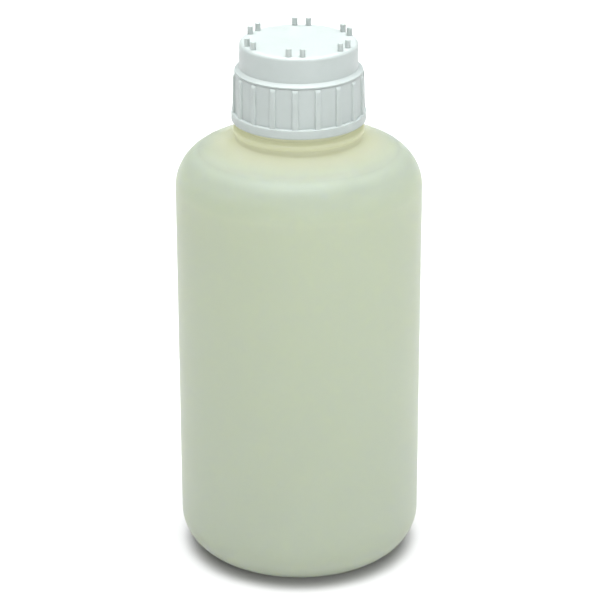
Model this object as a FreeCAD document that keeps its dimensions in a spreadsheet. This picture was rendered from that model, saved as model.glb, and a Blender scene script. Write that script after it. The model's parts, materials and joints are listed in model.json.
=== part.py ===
"""A two litre heavy-wall laboratory bottle with a screw cap and a flat sealing gasket.

The bottle is a blow-moulded shell with a buttress thread round its neck. The cap is one moulding: a plain crown
over the lip, a wider threaded skirt with grip ribs and a flange, and six pairs of wrench pegs on top. The gasket
lies in the groove under the crown and is pressed on the lip. The origin is the centre of the base, on the
surface that the bottle stands on, and +Z is up.
"""
import FreeCAD
import Part
import math
import os
import Sketcher

DRIVING = {
    # bottle body
    "body_diameter": 122.0,
    "body_wall": 3.0,
    "shoulder_start": 195.8,
    "shoulder_radius": 21.0,
    "shoulder_slope": 18.5,
    "base_radius": 20.4,
    "standing_ring_width": 7.0,
    "base_push_up": 5.0,
    "weld_end_gap": 9.0,
    "weld_width": 1.4,
    "weld_height": 0.7,
    # neck
    "bore_diameter": 47.0,
    "lip_wall": 3.0,
    "lip_rounding": 0.8,
    "lip_length": 12.6,
    "core_step": 0.9,
    "neck_length": 38.4,
    "throat_chamfer": 1.6,
    "root_step": 4.1,
    "root_height": 2.6,
    "root_fillet": 1.6,
    "bead_depth": 1.7,
    "bead_height": 3.0,
    "bead_rounding": 1.2,
    "bead_fillet": 0.6,
    # thread, shared by the neck and the cap
    "thread_pitch": 6.0,
    "thread_turns": 1.5,
    "thread_depth": 1.6,
    "thread_crest": 1.2,
    "thread_embed": 0.4,
    "load_flank_angle": 10.0,
    "back_flank_angle": 45.0,
    "neck_thread_below_lip": 26.1,
    "thread_stagger": 3.6,
    "thread_radial_gap": 0.35,
    "thread_load_gap": 0.15,
    "run_out_reach": 11.0,
    "run_out_radius": 20.0,
    # cap
    "cap_wall": 2.0,
    "skirt_wall": 1.9,
    "cap_top_wall": 2.6,
    "cap_bottom_gap": 3.3,
    "lip_side_gap": 0.5,
    "crown_height": 12.7,
    "crown_rounding": 2.0,
    "ledge_drop": 1.35,
    "collar_depth": 0.1,
    "collar_height": 0.75,
    "small_rounding": 0.4,
    "skirt_draft": 0.2,
    "inner_step_below_crown": 2.0,
    "flange_height": 4.8,
    "flange_depth": 1.65,
    "flange_rounding": 0.9,
    "skirt_lead_in": 0.8,
    "retainer_wall": 1.6,
    "retainer_gap": 0.9,
    "retainer_short": 0.4,
    "grip_azimuth": -93.2,
    "rib_count": 18.0,
    "rib_width": 2.9,
    "rib_depth": 1.15,
    "rib_embed": 0.8,
    "rib_corner": 0.45,
    "rib_nose": 2.4,
    "rib_draft": 1.4,
    "peg_pairs": 6.0,
    "peg_diameter": 2.75,
    "peg_height": 4.0,
    "peg_rounding": 0.35,
    "peg_inset": 2.75,
    "peg_spacing": 6.7,
    # gasket
    "gasket_thickness": 2.0,
    "gasket_gap": 0.2,
    "gasket_rounding": 0.4,
}

# Radii and heights that several pieces share, each written once over the driving dimensions. Heights in the
# cap's own frame start at its bottom edge and are marked CAP_.
BODY_R = "([body_diameter] / 2)"
BORE_R = "([bore_diameter] / 2)"
LIP_R = f"({BORE_R} + [lip_wall])"
ROOT_R = f"({LIP_R} + [root_step])"
BEAD_R = f"({ROOT_R} + [bead_depth])"
CORE_R = f"({LIP_R} + [core_step])"
CREST_R = f"({CORE_R} + [thread_depth])"
SHOULDER_END_R = f"({BODY_R} - [shoulder_radius] * (1 - sin([shoulder_slope] * 1deg)))"
SHOULDER_END_Z = "([shoulder_start] + [shoulder_radius] * cos([shoulder_slope] * 1deg))"
NECK_BASE = f"({SHOULDER_END_Z} + ({SHOULDER_END_R} - {ROOT_R}) * tan([shoulder_slope] * 1deg))"
BEAD_BOTTOM = f"({NECK_BASE} + [root_height])"
BEAD_TOP = f"({BEAD_BOTTOM} + [bead_height])"
LIP_TOP = f"({BEAD_TOP} + [neck_length])"
RING_OUT_R = f"({BODY_R} - [base_radius])"
RING_IN_R = f"({RING_OUT_R} - [standing_ring_width])"
DOME_R = f"((({RING_IN_R})^2 + [base_push_up]^2) / (2 * [base_push_up]))"

CAP_ORIGIN = f"({BEAD_TOP} + [cap_bottom_gap])"
CAP_SEAT = "([neck_length] - [cap_bottom_gap] + [gasket_thickness])"
CAP_TOP = f"({CAP_SEAT} + [cap_top_wall])"
CAP_CROWN_BASE = f"({CAP_TOP} - [crown_height])"
CAP_LEDGE = f"({CAP_CROWN_BASE} - [ledge_drop])"
CAP_COLLAR = f"({CAP_LEDGE} - [collar_height])"
CAP_THREAD_R = f"({CORE_R} + [thread_radial_gap])"
SKIRT_IN_R = f"({CREST_R} + [thread_radial_gap])"
SKIRT_R = f"({SKIRT_IN_R} + [skirt_wall])"
CROWN_IN_R = f"({LIP_R} + [lip_side_gap])"
CROWN_R = f"({CROWN_IN_R} + [cap_wall])"
FLANGE_R = f"({SKIRT_R} + [skirt_draft] + [flange_depth])"
RETAINER_R = f"({BORE_R} - [retainer_gap])"
PEG_R = f"({CROWN_R} - [peg_inset])"

# The cap's ridge starts thread_stagger lower than the neck's. Turned to this phase it lies under the neck's
# ridge all the way, with their load flanks thread_load_gap apart.
LOAD_DROP = (f"([thread_crest] + ({CREST_R} - {CAP_THREAD_R}) * tan([load_flank_angle] * 1deg)"
             " + [thread_load_gap])")
THREAD_PHASE = f"(({LOAD_DROP} - [thread_stagger]) / [thread_pitch] * 360)"
CAP_THREAD_START = "([neck_length] - [neck_thread_below_lip] - [cap_bottom_gap] - [thread_stagger])"

AXIS = FreeCAD.Vector(0, 0, 1)
SAME = 0.001

doc = FreeCAD.newDocument("reagent_bottle")


def make_sheet():
    """The spreadsheet of driving dimensions, one alias a row."""
    table = doc.addObject("Spreadsheet::Sheet", "Dimensions")
    for row, (alias, value) in enumerate(DRIVING.items(), start=1):
        table.set(f"A{row}", alias)
        table.set(f"B{row}", str(value))
        table.setAlias(f"B{row}", alias)
    doc.recompute()
    return table


sheet = make_sheet()


def cells(text):
    """An expression with each [dimension] turned into its cell of the sheet."""
    for alias in DRIVING:
        text = text.replace(f"[{alias}]", f"Dimensions.{alias}")
    return text


def number(text):
    """What an expression comes to now."""
    found = sheet.evalExpression(cells(text))
    return float(getattr(found, "Value", found))


def bind(thing, **sizes):
    """Ties properties of an object to expressions. A double underscore in a name stands for a dot."""
    for name, text in sizes.items():
        thing.setExpression(name.replace("__", "."), cells(text))


def new_body(name):
    """A PartDesign body."""
    body = doc.addObject("PartDesign::Body", name)
    body.Label = name
    return body


def origin_feature(body, role):
    """One of a body's own origin planes or axes."""
    return next(feature for feature in body.Origin.OriginFeatures if feature.Role == role)


def new_sketch(body, name, plane="XZ_Plane", height=None, azimuth=None):
    """A sketch on one of the body's planes, raised to a height and turned round Z if asked."""
    sketch = body.newObject("Sketcher::SketchObject", name)
    sketch.AttachmentSupport = [(origin_feature(body, plane), "")]
    sketch.MapMode = "FlatFace"
    sketch.AttachmentOffset = FreeCAD.Placement(FreeCAD.Vector(0, 0, 0), FreeCAD.Rotation(AXIS, 1))
    bind(sketch, AttachmentOffset__Base__z=height or "0", AttachmentOffset__Rotation__Angle=azimuth or "0")
    return sketch


def arc_between(start, end, radius):
    """The short arc between two points: left of the way from start to end if the radius is positive."""
    chord = end - start
    half = chord.Length / 2
    aside = FreeCAD.Vector(-chord.y, chord.x, 0).normalize()
    offset = math.sqrt(max(radius * radius - half * half, 0.0))
    centre = (start + end) * 0.5 + aside * math.copysign(offset, radius)
    first = math.atan2(start.y - centre.y, start.x - centre.x)
    last = math.atan2(end.y - centre.y, end.x - centre.x)
    circle = Part.Circle(centre, AXIS, abs(radius))
    if radius > 0:
        return Part.ArcOfCircle(circle, first, last)
    return Part.ArcOfCircle(circle, last, first)


def outline(sketch, corners):
    """Draws and constrains a closed outline.

    Each corner is (x, y) or (x, y, radius), all expressions. A radius makes the edge that leaves the corner an
    arc with its centre on the left of the way, or on the right if the expression starts with a minus sign.
    """
    points = [FreeCAD.Vector(number(corner[0]), number(corner[1]), 0) for corner in corners]
    ends = []
    for place, corner in enumerate(corners):
        start = points[place]
        end = points[(place + 1) % len(points)]
        radius = number(corner[2]) if len(corner) == 3 else 0
        if radius:
            edge = sketch.addGeometry(arc_between(start, end, radius))
        else:
            edge = sketch.addGeometry(Part.LineSegment(start, end))
        ends.append((edge, 2, 1) if radius < 0 else (edge, 1, 2))
    for place, (edge, _first, last) in enumerate(ends):
        following, start, _end = ends[(place + 1) % len(ends)]
        sketch.addConstraint(Sketcher.Constraint("Coincident", edge, last, following, start))
    for (edge, first, _last), corner, point in zip(ends, corners, points):
        for kind, axis, text, now in (("DistanceX", -2, corner[0], point.x), ("DistanceY", -1, corner[1], point.y)):
            if text == "0":
                sketch.addConstraint(Sketcher.Constraint("PointOnObject", edge, first, axis))
                continue
            rule = sketch.addConstraint(Sketcher.Constraint(kind, -1, 1, edge, first, now))
            sketch.setExpression(f"Constraints[{rule}]", cells(text))
        if len(corner) == 3:
            rule = sketch.addConstraint(Sketcher.Constraint("Radius", edge, abs(number(corner[2]))))
            sketch.setExpression(f"Constraints[{rule}]", cells(corner[2].lstrip("-")))
    doc.recompute()


def revolve(body, name, sketch, kind="Revolution"):
    """Turns a sketch once round the Z axis: a Revolution adds it, a Groove takes it away."""
    feature = body.newObject(f"PartDesign::{kind}", name)
    feature.Profile = sketch
    feature.ReferenceAxis = (sketch, ["V_Axis"])
    feature.Angle = 360
    doc.recompute()
    return feature


def pad(body, name, sketch, length, **sizes):
    """Raises a sketch along its normal."""
    feature = body.newObject("PartDesign::Pad", name)
    feature.Profile = sketch
    bind(feature, Length=length, **sizes)
    doc.recompute()
    return feature


def polar(body, name, originals, count):
    """Repeats features evenly round the Z axis."""
    feature = body.newObject("PartDesign::PolarPattern", name)
    feature.Originals = originals
    feature.Axis = (origin_feature(body, "Z_Axis"), [""])
    feature.Angle = 360
    bind(feature, Occurrences=count)
    body.Tip = feature
    doc.recompute()
    return feature


def rings_at(feature, places):
    """Names of the circular edges round the Z axis that pass through the given (radius, height) places."""
    wanted = [(number(radius), number(height)) for radius, height in places]
    names = []
    for index, edge in enumerate(feature.Shape.Edges, start=1):
        if edge.Degenerated or edge.Curve.TypeId != "Part::GeomCircle":
            continue
        curve = edge.Curve
        if math.hypot(curve.Center.x, curve.Center.y) < SAME and any(abs(curve.Radius - r) < SAME and abs(curve.Center.z - z) < SAME for r, z in wanted):
            names.append(f"Edge{index}")
    if len(names) != len(places):
        raise ValueError(f"{feature.Name}: {len(names)} rings found for {len(places)} places")
    return names


def round_edges(body, name, feature, names, radius):
    """Fillets the named edges of a feature."""
    fillet = body.newObject("PartDesign::Fillet", name)
    fillet.Base = (feature, names)
    bind(fillet, Radius=radius)
    doc.recompute()
    return fillet


def helical_ridge(name, corners):
    """A body holding one thread ridge: its section swept up a right-hand helix."""
    body = new_body(name)
    section = new_sketch(body, f"{name}_section")
    outline(section, corners)
    ridge = body.newObject("PartDesign::AdditiveHelix", f"{name}_sweep")
    ridge.Profile = section
    ridge.ReferenceAxis = (section, ["V_Axis"])
    ridge.Mode = "pitch-turns-angle"
    bind(ridge, Pitch="[thread_pitch]", Turns="[thread_turns]")
    doc.recompute()
    return body


def end_cutter(body, kind, name, azimuth, reach, sideways, bottom):
    """A cutter of the height of one pitch, placed at an azimuth, which lets a ridge run out to nothing."""
    cutter = body.newObject(f"PartDesign::Subtractive{kind}", name)
    cutter.AttachmentSupport = [(origin_feature(body, "XY_Plane"), "")]
    cutter.MapMode = "FlatFace"
    cutter.AttachmentOffset = FreeCAD.Placement(FreeCAD.Vector(0, 0, 0), FreeCAD.Rotation(AXIS, 1))
    turned = f"({azimuth}) * 1deg"
    bind(cutter,
         Height="[thread_pitch]",
         AttachmentOffset__Rotation__Angle=azimuth,
         AttachmentOffset__Base__x=f"({reach}) * cos({turned}) - ({sideways}) * sin({turned})",
         AttachmentOffset__Base__y=f"({reach}) * sin({turned}) + ({sideways}) * cos({turned})",
         AttachmentOffset__Base__z=bottom)
    return cutter


def fuse(name, bodies):
    """Joins bodies into one solid."""
    whole = doc.addObject("Part::MultiFuse", name)
    whole.Shapes = bodies
    whole.Refine = True
    whole.Label = name
    doc.recompute()
    return whole


def bottle_shell():
    """The blow-moulded wall: push-up base, straight side, shoulder, transfer bead and plain neck."""
    body = new_body("bottle_shell")
    section = new_sketch(body, "wall_section")
    inner_arc = "([shoulder_radius] - [body_wall])"
    inner_r = f"({BODY_R} - [body_wall])"
    inner_end_r = f"({inner_r} - {inner_arc} * (1 - sin([shoulder_slope] * 1deg)))"
    inner_end_z = f"([shoulder_start] + {inner_arc} * cos([shoulder_slope] * 1deg))"
    throat_r = f"({BORE_R} + [throat_chamfer])"
    throat_z = f"({inner_end_z} + ({inner_end_r} - {throat_r}) * tan([shoulder_slope] * 1deg))"
    outline(section, [
        ("0", "[base_push_up]", f"-{DOME_R}"),
        (RING_IN_R, "0"),
        (RING_OUT_R, "0", "[base_radius]"),
        (BODY_R, "[base_radius]"),
        (BODY_R, "[shoulder_start]", "[shoulder_radius]"),
        (SHOULDER_END_R, SHOULDER_END_Z),
        (ROOT_R, NECK_BASE),
        (ROOT_R, BEAD_BOTTOM),
        (BEAD_R, BEAD_BOTTOM),
        (BEAD_R, BEAD_TOP),
        (CORE_R, BEAD_TOP),
        (CORE_R, f"{LIP_TOP} - [lip_length] - [core_step]"),
        (LIP_R, f"{LIP_TOP} - [lip_length]"),
        (LIP_R, LIP_TOP),
        (BORE_R, LIP_TOP),
        (BORE_R, f"{throat_z} + [throat_chamfer]"),
        (throat_r, throat_z),
        (inner_end_r, inner_end_z, f"-{inner_arc}"),
        (inner_r, "[shoulder_start]"),
        (inner_r, "[base_radius]", "-([base_radius] - [body_wall])"),
        (RING_OUT_R, "[body_wall]"),
        (RING_IN_R, "[body_wall]", DOME_R),
        ("0", "[base_push_up] + [body_wall]"),
    ])
    wall = revolve(body, "wall", section)
    root = round_edges(body, "root_rounding", wall, rings_at(wall, [(ROOT_R, NECK_BASE)]), "[root_fillet]")
    bead_edges = rings_at(root, [(BEAD_R, BEAD_BOTTOM), (BEAD_R, BEAD_TOP)])
    bead = round_edges(body, "bead_rounding", root, bead_edges, "[bead_rounding]")
    inner_edges = rings_at(bead, [(CORE_R, BEAD_TOP), (ROOT_R, BEAD_BOTTOM)])
    bead_root = round_edges(body, "bead_root_rounding", bead, inner_edges, "[bead_fillet]")
    lip_edges = rings_at(bead_root, [(LIP_R, LIP_TOP), (BORE_R, LIP_TOP)])
    round_edges(body, "lip_rounding", bead_root, lip_edges, "[lip_rounding]")
    return body


def pinch_weld():
    """The low weld line that the mould leaves across the push-up, under the base."""
    body = new_body("pinch_weld")
    section = new_sketch(body, "weld_section")
    half = f"({RING_IN_R} - [weld_end_gap])"
    end_z = f"([base_push_up] - {DOME_R} + sqrt({DOME_R}^2 - {half}^2))"
    outline(section, [
        (f"-{half}", f"{end_z} - [weld_height] * 0.4", f"-{DOME_R}"),
        (half, f"{end_z} - [weld_height] * 0.4"),
        (half, f"{end_z} + [weld_height]", DOME_R),
        (f"-{half}", f"{end_z} + [weld_height]"),
    ])
    bar = pad(body, "weld_bar", section, "[weld_width]")
    bar.Midplane = True
    doc.recompute()
    return body


def neck_ridge():
    """The neck's buttress ridge. Its steep load flank faces down, and it stands thread_embed into the wall."""
    start = f"({LIP_TOP} - [neck_thread_below_lip])"
    root = f"({CORE_R} - [thread_embed])"
    depth = "([thread_depth] + [thread_embed])"
    body = helical_ridge("neck_ridge", [
        (root, f"{start} - [thread_crest] / 2 - {depth} * tan([load_flank_angle] * 1deg)"),
        (CREST_R, f"{start} - [thread_crest] / 2"),
        (CREST_R, f"{start} + [thread_crest] / 2"),
        (root, f"{start} + [thread_crest] / 2 + {depth} * tan([back_flank_angle] * 1deg)"),
    ])
    ends = (("0", start), ("[thread_turns] * 360", f"({start} + [thread_turns] * [thread_pitch])"))
    for place, (azimuth, height) in enumerate(ends, start=1):
        cutter = end_cutter(body, "Box", f"neck_run_out_{place}", azimuth, f"{CORE_R} - [thread_embed] / 8",
                            "-[run_out_reach]", f"{height} - [thread_pitch] * 0.45")
        bind(cutter, Length="[thread_depth] * 3", Width="[run_out_reach] * 2")
    doc.recompute()
    return body


def cap_ridge():
    """The cap's ridge, the neck's upside down: its steep load flank faces up."""
    start = CAP_THREAD_START
    root = f"({SKIRT_IN_R} + [thread_embed])"
    depth = "([thread_depth] + [thread_embed])"
    body = helical_ridge("cap_ridge", [
        (CAP_THREAD_R, f"{start} - [thread_crest] / 2"),
        (root, f"{start} - [thread_crest] / 2 - {depth} * tan([back_flank_angle] * 1deg)"),
        (root, f"{start} + [thread_crest] / 2 + {depth} * tan([load_flank_angle] * 1deg)"),
        (CAP_THREAD_R, f"{start} + [thread_crest] / 2"),
    ])
    ends = (("0", start), ("[thread_turns] * 360", f"({start} + [thread_turns] * [thread_pitch])"))
    for place, (azimuth, height) in enumerate(ends, start=1):
        cutter = end_cutter(body, "Cylinder", f"cap_run_out_{place}", azimuth,
                            f"{SKIRT_IN_R} + [thread_embed] / 8 - [run_out_radius]", "0",
                            f"{height} - [thread_pitch] * 0.55")
        bind(cutter, Radius="[run_out_radius]")
    body.Placement = FreeCAD.Placement(FreeCAD.Vector(0, 0, 0), FreeCAD.Rotation(AXIS, 1))
    bind(body, Placement__Rotation__Angle=THREAD_PHASE)
    doc.recompute()
    return body


def cap_shell():
    """The cap's turned form: crown, ledge, collar, drafted skirt, flange and the gasket's retaining ring."""
    body = new_body("cap_shell")
    section = new_sketch(body, "cap_section")
    collar_r = f"({SKIRT_R} + [collar_depth])"
    skirt_foot_r = f"({SKIRT_R} + [skirt_draft])"
    retainer_in_r = f"({RETAINER_R} - [retainer_wall])"
    retainer_foot = f"({CAP_SEAT} - [gasket_thickness] + [retainer_short])"
    inner_step = f"({CAP_CROWN_BASE} - [inner_step_below_crown])"
    outline(section, [
        ("0", CAP_SEAT),
        (retainer_in_r, CAP_SEAT),
        (retainer_in_r, retainer_foot),
        (RETAINER_R, retainer_foot),
        (RETAINER_R, CAP_SEAT),
        (CROWN_IN_R, CAP_SEAT),
        (CROWN_IN_R, inner_step),
        (SKIRT_IN_R, f"{inner_step} - ({SKIRT_IN_R} - {CROWN_IN_R})"),
        (SKIRT_IN_R, "[skirt_lead_in]"),
        (f"{SKIRT_IN_R} + [skirt_lead_in]", "0"),
        (FLANGE_R, "0"),
        (FLANGE_R, "[flange_height]"),
        (skirt_foot_r, "[flange_height]"),
        (SKIRT_R, CAP_COLLAR),
        (collar_r, CAP_COLLAR),
        (collar_r, CAP_LEDGE),
        (CROWN_R, CAP_CROWN_BASE),
        (CROWN_R, CAP_TOP),
        ("0", CAP_TOP),
    ])
    form = revolve(body, "cap_form", section)
    crown = round_edges(body, "crown_rounding", form, rings_at(form, [(CROWN_R, CAP_TOP)]), "[crown_rounding]")
    low = round_edges(body, "flange_rounding", crown, rings_at(crown, [(FLANGE_R, "0")]), "[flange_rounding]")
    small_edges = rings_at(low, [(FLANGE_R, "[flange_height]"), (skirt_foot_r, "[flange_height]"),
                                 (collar_r, CAP_LEDGE), (CROWN_R, CAP_CROWN_BASE)])
    round_edges(body, "ledge_rounding", low, small_edges, "[small_rounding]")
    add_pegs(body)
    return body


def add_pegs(body):
    """Six pairs of round pegs on the crown, which a spanner's holes drop over."""
    spots = new_sketch(body, "peg_section", "XY_Plane", f"{CAP_TOP} - [cap_top_wall] / 2", "[grip_azimuth]")
    half = "([peg_spacing] / 2)"
    along = f"(sqrt({PEG_R}^2 - {half}^2))"
    for side, sign in ((1, ""), (-1, "-")):
        middle = FreeCAD.Vector(number(along), side * number(half), 0)
        circle = sketch_circle(spots, middle, "[peg_diameter] / 2")
        for kind, text, now in (("DistanceX", along, middle.x), ("DistanceY", f"{sign}{half}", middle.y)):
            rule = spots.addConstraint(Sketcher.Constraint(kind, -1, 1, circle, 3, now))
            spots.setExpression(f"Constraints[{rule}]", cells(text))
    doc.recompute()
    pair = pad(body, "peg_pair", spots, "[peg_height] + [cap_top_wall] / 2")
    ring = polar(body, "peg_ring", [pair], "[peg_pairs]")
    top = number(f"{CAP_TOP} + [peg_height]")
    tips = [f"Edge{index}" for index, edge in enumerate(ring.Shape.Edges, start=1)
            if edge.BoundBox.ZMin > top - SAME]
    round_edges(body, "peg_rounding", ring, tips, "[peg_rounding]")


def sketch_circle(sketch, centre, radius):
    """A circle in a sketch, with its radius bound."""
    circle = sketch.addGeometry(Part.Circle(centre, AXIS, number(radius)))
    rule = sketch.addConstraint(Sketcher.Constraint("Radius", circle, number(radius)))
    sketch.setExpression(f"Constraints[{rule}]", cells(radius))
    return circle


def grip_ribs():
    """The grip ribs: drafted bars from the flange up to the collar, each with a rounded nose."""
    body = new_body("grip_ribs")
    foot = "([flange_height] / 2)"
    section = new_sketch(body, "rib_section", "XY_Plane", foot, "[grip_azimuth]")
    half = "([rib_width] / 2)"
    outer = f"({SKIRT_R} + [skirt_draft] + [rib_depth])"
    inner = f"({SKIRT_R} - [rib_embed])"
    outline(section, [
        (inner, f"-{half}"),
        (f"{outer} - [rib_corner]", f"-{half}", "[rib_corner]"),
        (outer, f"-{half} + [rib_corner]"),
        (outer, f"{half} - [rib_corner]", "[rib_corner]"),
        (f"{outer} - [rib_corner]", half),
        (inner, half),
    ])
    bar = pad(body, "rib", section, f"{CAP_COLLAR} - {foot} + [collar_height] / 4", TaperAngle="-[rib_draft]")
    ring = polar(body, "rib_ring", [bar], "[rib_count]")
    nose_z = f"({CAP_COLLAR} - [rib_nose])"
    nose_r = f"({outer} - ({nose_z} - {foot}) * tan([rib_draft] * 1deg))"
    trim = new_sketch(body, "nose_section")
    outline(trim, [
        (nose_r, nose_z, "[rib_nose]"),
        (f"{nose_r} - [rib_nose]", f"{nose_z} + [rib_nose]"),
        (f"{nose_r} - [rib_nose]", f"{CAP_LEDGE}"),
        (f"{nose_r} + [rib_depth]", f"{CAP_LEDGE}"),
        (f"{nose_r} + [rib_depth]", nose_z),
    ])
    revolve(body, "rib_noses", trim, "Groove")
    return body


def make_gasket():
    """The flat sealing ring, in the groove between the retaining ring and the crown's wall."""
    body = new_body("gasket")
    section = new_sketch(body, "gasket_section")
    inner = f"({RETAINER_R} + [gasket_gap])"
    outer = f"({CROWN_IN_R} - [gasket_gap])"
    outline(section, [
        (inner, "0"),
        (outer, "0"),
        (outer, "[gasket_thickness]"),
        (inner, "[gasket_thickness]"),
    ])
    ring = revolve(body, "ring", section)
    corners = rings_at(ring, [(inner, "0"), (outer, "0"), (outer, "[gasket_thickness]"),
                              (inner, "[gasket_thickness]")])
    round_edges(body, "corner_rounding", ring, corners, "[gasket_rounding]")
    bind(body, Placement__Base__z=LIP_TOP)
    doc.recompute()
    return body


def check_document():
    """Stops the build if any object of the document failed."""
    for thing in doc.Objects:
        if "Invalid" in thing.State or "Error" in thing.State:
            raise ValueError(f"{thing.Name} did not build: {thing.State}")


def export(sub_part, solids=1):
    """Writes one sub-part as STEP after looking at its shape."""
    shape = sub_part.Shape
    if shape.isNull() or not shape.isValid() or len(shape.Solids) != solids:
        raise ValueError(f"{sub_part.Label}: the shape is not {solids} sound solid(s)")
    shape.exportStep(os.path.join("parts", f"{sub_part.Label}.step"))


bottle = fuse("bottle", [bottle_shell(), pinch_weld(), neck_ridge()])
screw_cap = fuse("screw_cap", [cap_shell(), grip_ribs(), cap_ridge()])
bind(screw_cap, Placement__Base__z=CAP_ORIGIN)
gasket = make_gasket()
doc.recompute()
check_document()

os.makedirs("parts", exist_ok=True)
for piece in (bottle, screw_cap, gasket):
    export(piece)
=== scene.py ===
"""Finishes a laboratory reagent bottle: milky blown shell, white screw cap, soft gasket and a plain studio.

Each operator makes one piece, or sets the stage. Sizes are in metres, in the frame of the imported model.
"""
import bmesh
import bpy
import json
import math
from bpy.props import FloatProperty, FloatVectorProperty, IntProperty, PointerProperty
from mathutils import Matrix, Vector


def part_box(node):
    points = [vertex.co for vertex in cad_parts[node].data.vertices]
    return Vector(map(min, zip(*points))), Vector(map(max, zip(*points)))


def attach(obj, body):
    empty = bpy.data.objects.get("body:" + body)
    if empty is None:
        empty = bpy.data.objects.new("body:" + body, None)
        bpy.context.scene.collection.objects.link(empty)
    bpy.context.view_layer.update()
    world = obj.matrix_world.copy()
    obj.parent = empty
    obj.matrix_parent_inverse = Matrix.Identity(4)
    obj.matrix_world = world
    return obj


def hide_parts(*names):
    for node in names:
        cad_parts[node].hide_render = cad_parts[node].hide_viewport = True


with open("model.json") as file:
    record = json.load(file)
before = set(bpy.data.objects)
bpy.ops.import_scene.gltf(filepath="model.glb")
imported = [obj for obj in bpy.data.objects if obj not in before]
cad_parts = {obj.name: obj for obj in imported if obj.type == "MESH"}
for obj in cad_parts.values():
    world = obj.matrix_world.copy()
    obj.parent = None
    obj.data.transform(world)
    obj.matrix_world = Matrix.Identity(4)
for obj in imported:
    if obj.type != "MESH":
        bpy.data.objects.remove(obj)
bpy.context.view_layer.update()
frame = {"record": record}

bl_info = {
    "name": "Reagent Bottle",
    "version": (1, 0, 0),
    "blender": (4, 5, 0),
    "location": "3D View > Sidebar > Reagent Bottle",
    "description": "Builds the shell, screw cap and gasket of a laboratory bottle, with their plastics",
    "category": "Object",
}

MM = 0.001
BOTTLE_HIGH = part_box("bottle")[1]
CAP_LOW, CAP_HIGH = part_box("screw_cap")
GASKET_LOW, GASKET_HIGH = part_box("gasket")
MOUNTS = {mount["name"]: mount for mount in frame["record"]["mounts"]}
BORE_RADIUS = MOUNTS["mouth"]["dims"]["r_mm"] * MM
PEG_DIMS = MOUNTS["spanner_pegs"]["dims"]
CROWN_TOP = MOUNTS["spanner_pegs"]["pos_m"][2]

# Where the shell's colours and painted shade change and its painted light starts, as shares of the height
# where the neck begins.
SIDE_TOP = 0.890
SHOULDER_SHADE_LOW = 0.950
SHOULDER_SHADE_TOP = 0.965
PAINTED_GLOW_LOW = 0.971

# Places, targets and sizes of the area lights, in metres.
KEY_PLACE = (1.08, -0.62, 0.55)
KEY_TARGET = (0.0, 0.0, 0.15)
KEY_SIZE = (0.25, 0.6)
KEY_TINT = (0.9, 0.97, 1.0)
FILL_PLACE = (0.26, -0.88, 0.42)
FILL_TARGET = (0.0, 0.0, 0.20)
FILL_SIZE = (0.35, 0.35)


def length(name, default, description):
    """A length setting, in metres."""
    return FloatProperty(name=name, default=default, description=description, unit="LENGTH", precision=5,
                         min=0.0)


def amount(name, default, description):
    """A plain number that isn't below nought."""
    return FloatProperty(name=name, default=default, description=description, min=0.0)


def angle(name, degrees, description):
    """An angle setting, given in degrees and kept in radians."""
    return FloatProperty(name=name, default=math.radians(degrees), description=description, subtype="ANGLE")


def tint(name, default, description):
    """A colour setting."""
    return FloatVectorProperty(name=name, default=default, description=description, subtype="COLOR", size=3,
                               min=0.0, max=1.0)


class BottleSizes(bpy.types.PropertyGroup):
    """Sizes of the blown shell."""
    body_radius: length("Body Radius", BOTTLE_HIGH.x, "Outside radius of the straight side")
    wall: length("Wall", 3.0 * MM, "Thickness of the blown wall")
    base_radius: length("Base Corner", 20.4 * MM, "Radius of the corner between side and base")
    ring_width: length("Standing Ring", 7.0 * MM, "Width of the flat ring that the bottle stands on")
    push_up: length("Push-up", 5.0 * MM, "Rise of the base inside the standing ring")
    shoulder_radius: length("Shoulder Radius", 21.0 * MM, "Radius of the rounded shoulder")
    shoulder_slope: angle("Shoulder Slope", 18.5, "Slope of the shoulder where it runs up to the neck")
    lip_wall: length("Lip Wall", 3.0 * MM, "Thickness of the lip")
    lip_length: length("Lip Length", 12.6 * MM, "Height of the plain lip above the threaded core")
    core_step: length("Core Step", 0.9 * MM, "How far the threaded core stands out from the lip")
    neck_length: length("Neck Length", 38.4 * MM, "Height of the neck above the bead")
    root_step: length("Root Step", 4.1 * MM, "How far the neck's root stands out from the lip")
    root_height: length("Root Height", 2.6 * MM, "Height of the recess under the bead")
    root_rounding: length("Root Rounding", 1.6 * MM, "Rounding where the shoulder meets the neck's root")
    bead_depth: length("Bead Depth", 1.7 * MM, "How far the bead stands out from the root")
    bead_height: length("Bead Height", 3.0 * MM, "Height of the bead")
    bead_rounding: length("Bead Rounding", 1.2 * MM, "Rounding of the bead's edges")
    recess_rounding: length("Recess Rounding", 0.6 * MM, "Rounding in the corners above and below the bead")
    core_rounding: length("Core Rounding", 0.3 * MM, "Rounding at the step from the core to the lip")
    lip_rounding: length("Lip Rounding", 0.8 * MM, "Rounding of the lip's edges")
    throat_flare: length("Throat Flare", 1.6 * MM, "How far the bore widens where it opens into the body")
    throat_rounding: length("Throat Rounding", 1.2 * MM, "Rounding where the bore starts to widen")
    throat_corner: length("Throat Corner", 0.8 * MM, "Rounding where the wide end meets the shoulder")
    seam_width: length("Seam Width", 0.5 * MM, "Width of the fine line where the mould closed")
    seam_depth: length("Seam Depth", 0.1 * MM, "Depth of that line")
    seam_foot: length("Seam Foot", 1.0 * MM, "Height above the base where that line starts")
    weld_width: length("Weld Width", 1.4 * MM, "Width of the pinched weld under the base")
    weld_height: length("Weld Height", 0.75 * MM, "How far the weld hangs down")
    weld_bed: length("Weld Bed", 0.15 * MM, "How deep the weld is set into the base")
    weld_gap: length("Weld Gap", 9.0 * MM, "Distance from each end of the weld to the standing ring")
    segments: IntProperty(name="Segments", default=240, min=32, description="Facets round the shell")


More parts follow.
